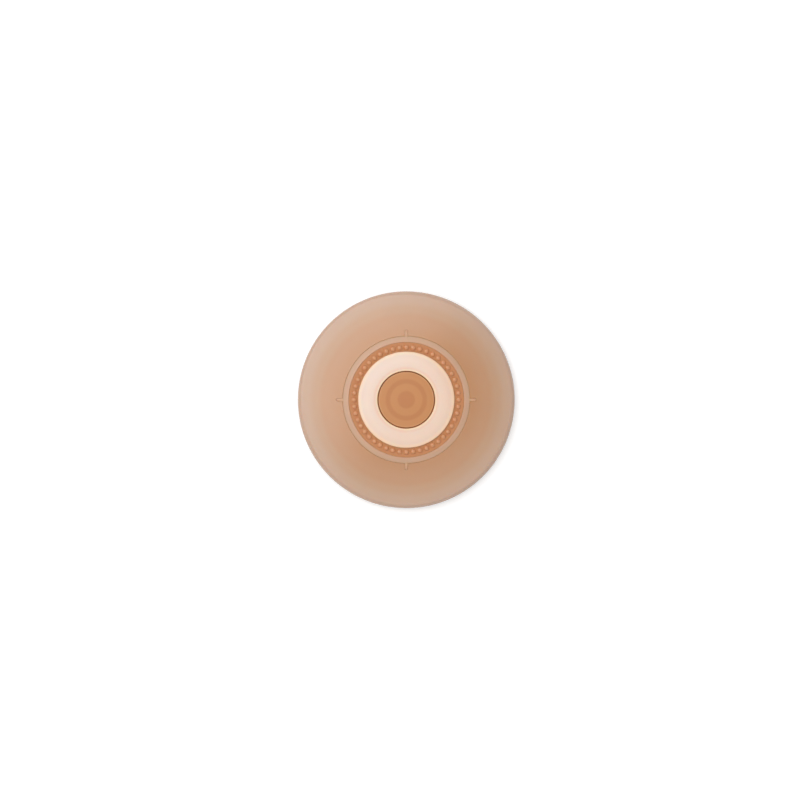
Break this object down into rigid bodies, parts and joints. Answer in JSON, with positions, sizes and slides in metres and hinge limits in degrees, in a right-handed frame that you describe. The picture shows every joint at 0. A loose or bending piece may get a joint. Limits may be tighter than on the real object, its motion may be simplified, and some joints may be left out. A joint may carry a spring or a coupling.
{
  "type": "adhesive phone mount plate",
  "caption": "Round adhesive phone mount plate: a shallow amber cone with a keyed retaining ring, a turning hub with a beaded track, an ivory collar and a sprung centre button.",
  "frame": {"origin": "centre of the adhesive face, on the surface that the plate is stuck to", "axes": "+Z out of that surface, along the axis that the hub turns about; +X and +Y through two keys of the retaining ring"},
  "size_m": [0.0614, 0.0614, 0.0066],
  "materials": {
    "amber_plate": "milky translucent, satin",
    "amber_hub": "translucent, satin",
    "frosted_ring": "frosted",
    "ivory_collar": "satin",
    "steel": "stamped and plated",
    "foam_adhesive": "foam with a tacky face"
  },
  "bodies": {
    "plate": {"adhesive_pad": "foam_adhesive", "mount_plate": "amber_plate", "retaining_ring": "frosted_ring"},
    "hub": {"swivel_hub": "amber_hub", "armature_ring": "steel", "collar_ring": "ivory_collar", "button_spring": "steel"},
    "button": {"centre_button": "amber_hub"}
  },
  "joints": [
    {"name": "hub_turn", "type": "hinge", "parent": "plate", "child": "hub", "pos_m": [0, 0, 0.0042], "axis": [0, 0, 1], "continuous": true},
    {"name": "button_press", "type": "slide", "parent": "hub", "child": "button", "axis": [0, 0, -1], "range_m": [0, 0.001], "stiffness_N_per_m": 400, "springref_m": -0.0015, "deforming": ["button_spring"]}
  ]
}
